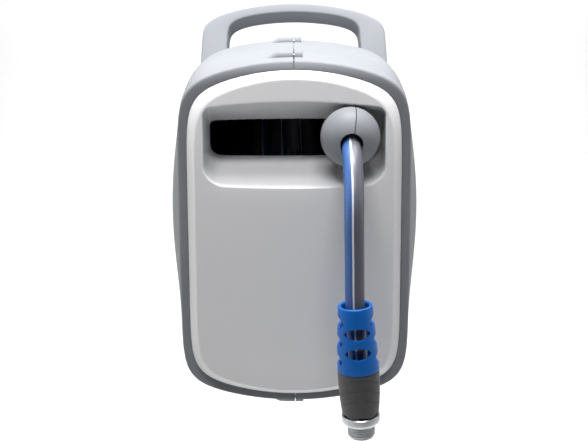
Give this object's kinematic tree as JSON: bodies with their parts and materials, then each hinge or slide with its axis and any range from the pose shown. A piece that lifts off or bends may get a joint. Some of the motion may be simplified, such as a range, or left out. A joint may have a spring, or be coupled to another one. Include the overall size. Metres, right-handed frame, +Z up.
{
  "type": "retractable hose reel",
  "caption": "Wall-hung hose reel in a rounded case that swivels on a pin, with a slot front, carrying handle, sprung drum, level wind, ball stop and hose end",
  "frame": {"origin": "centre of the wall bracket's back face", "axes": "+Z up, +Y back into the wall, +X to the right seen from the front"},
  "size_m": [0.2662, 0.6433, 0.4229],
  "materials": {
    "slate_plastic": "satin moulded, fine grain",
    "white_plastic": "smooth satin white",
    "inner_plastic": "moulded, unpainted",
    "gear_plastic": "natural acetal",
    "steel": "zinc plated",
    "spring_steel": "blued strip",
    "brass": "turned",
    "plated_metal": "dull nickel plate",
    "hose_skin": "smooth soft plastic, in blue and grey with a white stripe",
    "blue_rubber": "smooth soft plastic",
    "grip_rubber": "matt soft plastic",
    "seal_rubber": "moulded"
  },
  "bodies": {
    "wall_mount": {"wall_bracket": "slate_plastic"},
    "pin": {"swivel_pin": "steel", "pin_cap": "inner_plastic"},
    "case": {"shell_left": "slate_plastic", "shell_right": "slate_plastic", "fascia": "white_plastic", "handle": "slate_plastic", "swivel_bush_upper": "gear_plastic", "swivel_bush_lower": "gear_plastic", "case_screw_top_front": "steel", "case_screw_top_rear": "steel", "case_screw_bottom_front": "steel", "case_screw_bottom_rear": "steel", "axle": "steel", "inlet_elbow": "inner_plastic", "inlet_seal": "seal_rubber", "inlet_spigot": "brass", "spring_arbor": "gear_plastic", "guide_rod": "steel", "screw_bearing_left": "gear_plastic", "screw_bearing_right": "gear_plastic", "idler_pin": "steel", "pawl_pin": "steel"},
    "drum": {"drum_hub": "inner_plastic", "flange_left": "inner_plastic", "flange_right": "inner_plastic", "drum_bush_left": "gear_plastic", "drum_bush_right": "gear_plastic", "hose_core": "hose_skin", "hose_winding": "hose_skin", "drum_gear": "gear_plastic", "hub_connector": "brass", "axle_seal_left": "seal_rubber", "axle_seal_right": "seal_rubber", "spring_cassette": "inner_plastic", "spring_cover": "inner_plastic", "power_spring": "spring_steel", "ratchet_ring": "gear_plastic"},
    "idler": {"idler_gear": "gear_plastic"},
    "level_screw": {"wind_screw": "steel", "screw_gear": "gear_plastic"},
    "guide": {"guide_carriage": "inner_plastic", "guide_key": "steel"},
    "roller_left": {"guide_roller_left": "gear_plastic"},
    "roller_right": {"guide_roller_right": "gear_plastic"},
    "hose_end": {"hose_lead": "hose_skin", "ball_half_left": "slate_plastic", "ball_half_right": "slate_plastic", "hose_tail": "hose_skin", "bend_guard": "blue_rubber", "grip": "grip_rubber", "end_collar": "plated_metal", "end_spigot": "plated_metal"},
    "pawl": {"latch_pawl": "gear_plastic"}
  },
  "joints": [
    {"name": "pin_lift", "type": "slide", "parent": "wall_mount", "child": "pin", "axis": [0, 0, 1], "range_m": [0, 0.262]},
    {"name": "case_swivel", "type": "hinge", "parent": "wall_mount", "child": "case", "pos_m": [0, -0.14, 0], "axis": [0, 0, 1], "range_deg": [-90, 90]},
    {"name": "drum_spin", "type": "hinge", "parent": "case", "child": "drum", "pos_m": [0, -0.341, -0.0168], "axis": [1, 0, 0], "range_deg": [0, 2070], "stiffness_Nm_per_rad": 0.06, "springref_deg": -1145.92, "deforming": ["hose_winding"]},
    {"name": "idler_spin", "type": "hinge", "parent": "case", "child": "idler", "pos_m": [0, -0.41876, 0.00588], "axis": [1, 0, 0], "range_deg": [-1656, 0]},
    {"name": "screw_spin", "type": "hinge", "parent": "case", "child": "level_screw", "pos_m": [0, -0.485, 0.0252], "axis": [1, 0, 0], "range_deg": [0, 3105]},
    {"name": "guide_traverse", "type": "slide", "parent": "case", "child": "guide", "axis": [1, 0, 0], "range_m": [-0.10666, 0]},
    {"name": "roller_left_spin", "type": "hinge", "parent": "guide", "child": "roller_left", "pos_m": [0.03965, -0.485, 0.0988], "axis": [0, 0, 1], "continuous": true},
    {"name": "roller_right_spin", "type": "hinge", "parent": "guide", "child": "roller_right", "pos_m": [0.06735, -0.485, 0.0988], "axis": [0, 0, 1], "continuous": true},
    {"name": "hose_pull", "type": "slide", "parent": "guide", "child": "hose_end", "axis": [0, -1, 0], "range_m": [0, 0.06], "stiffness_N_per_m": 40, "springref_m": -0.1},
    {"name": "pawl_swing", "type": "hinge", "parent": "case", "child": "pawl", "pos_m": [0, -0.282, 0.08539], "axis": [1, 0, 0], "range_deg": [0, 12], "stiffness_Nm_per_rad": 0.01, "springref_deg": -11.46}
  ],
  "couplings": [
    {"joint": "idler_spin", "follows": "drum_spin", "ratio": -0.8},
    {"joint": "screw_spin", "follows": "drum_spin", "ratio": 1.5},
    {"joint": "guide_traverse", "follows": "drum_spin", "m_per_rad": -0.0029523}
  ]
}
